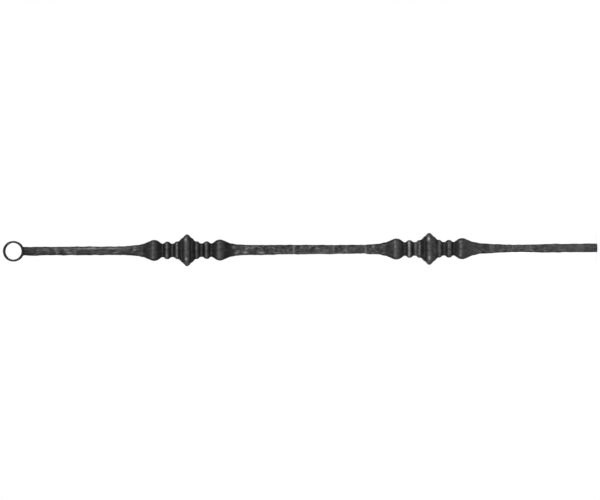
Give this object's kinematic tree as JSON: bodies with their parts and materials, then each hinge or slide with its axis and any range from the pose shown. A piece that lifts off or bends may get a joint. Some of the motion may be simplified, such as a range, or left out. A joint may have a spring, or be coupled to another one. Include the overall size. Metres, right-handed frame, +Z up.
{
  "type": "wrought iron baluster",
  "caption": "Slender round forged iron baluster with ringed, diamond-shaped knuckles worked into the bar, a plain foot to set into a stair tread and an open ring at the top.",
  "frame": {"origin": "centre of the plain foot's end face, on the bar's axis", "axes": "+Z up along the bar from the foot to the ring, +Y along the ring's bore, away from the picture's camera, +X across"},
  "size_m": [0.0542, 0.054, 1],
  "materials": {
    "wrought_iron": "hammered, blackened iron with a dull satin sheen and worn, lighter high spots",
    "ring_iron": "blackened strap iron, darker than the bar, dull satin"
  },
  "bodies": {
    "root": {"forged_bar": "wrought_iron", "end_ring": "ring_iron"}
  },
  "joints": []
}
